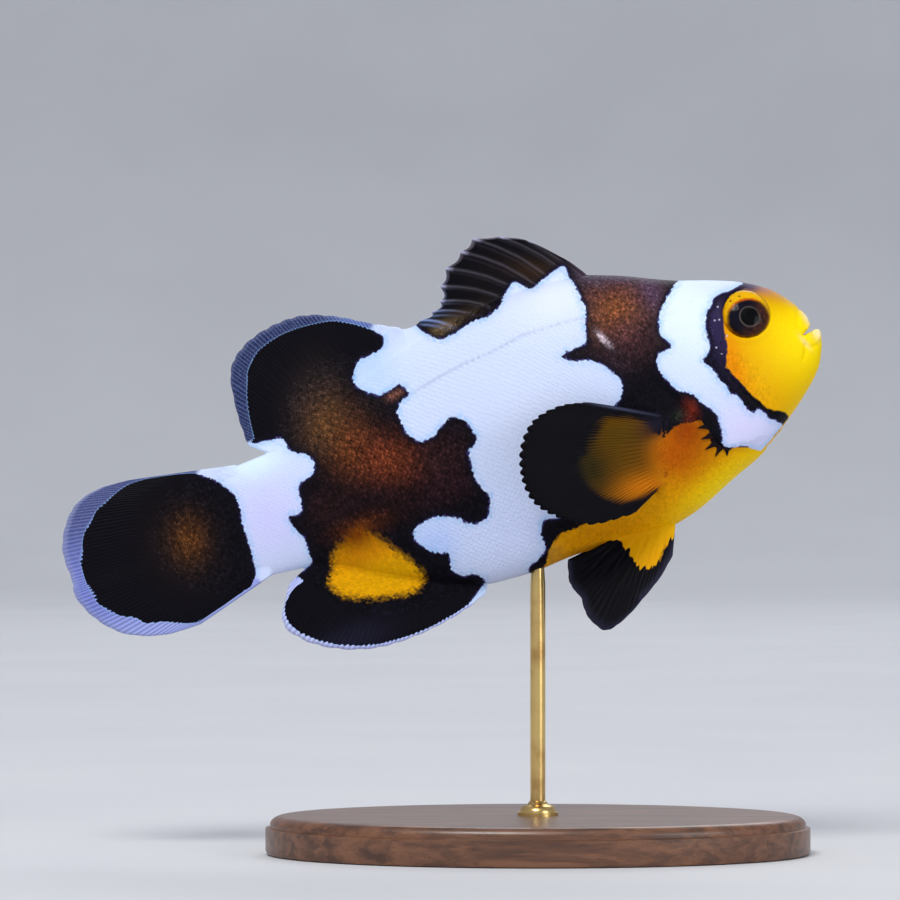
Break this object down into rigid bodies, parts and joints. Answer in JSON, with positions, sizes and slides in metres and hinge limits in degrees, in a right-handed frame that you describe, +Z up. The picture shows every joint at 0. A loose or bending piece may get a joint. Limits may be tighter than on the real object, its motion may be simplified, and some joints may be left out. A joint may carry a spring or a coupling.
{
  "type": "clownfish model",
  "caption": "Life-size museum model of a clownfish with irregular bands, swimming nose up, on a rod and an oval base.",
  "frame": {"origin": "middle of the model's box, on the surface that the stand rests on", "axes": "+X towards the fish's head, +Y towards its left side, +Z up"},
  "size_m": [0.0782, 0.036, 0.0635],
  "materials": {
    "yellow_skin": "satin scaled skin, yellow to orange",
    "white_skin": "satin scaled skin, bluish white and dark brown",
    "dark_fin": "satin ribbed fin, near black with pale edges",
    "eye": "wet gloss, black pupil in a dark iris",
    "brass": "fine satin",
    "walnut": "oiled walnut"
  },
  "bodies": {
    "root": {"head": "yellow_skin", "lower_jaw": "yellow_skin", "gill_cover_left": "white_skin", "gill_cover_right": "white_skin", "trunk": "white_skin", "tail": "white_skin", "dorsal_fin_spiny": "dark_fin", "dorsal_fin_soft": "dark_fin", "anal_fin": "dark_fin", "caudal_fin": "dark_fin", "pectoral_fin_left": "dark_fin", "pectoral_fin_right": "dark_fin", "pelvic_fin_left": "dark_fin", "pelvic_fin_right": "dark_fin", "eye_left": "eye", "eye_right": "eye", "stand_base": "walnut", "stand_rod": "brass"}
  },
  "joints": []
}
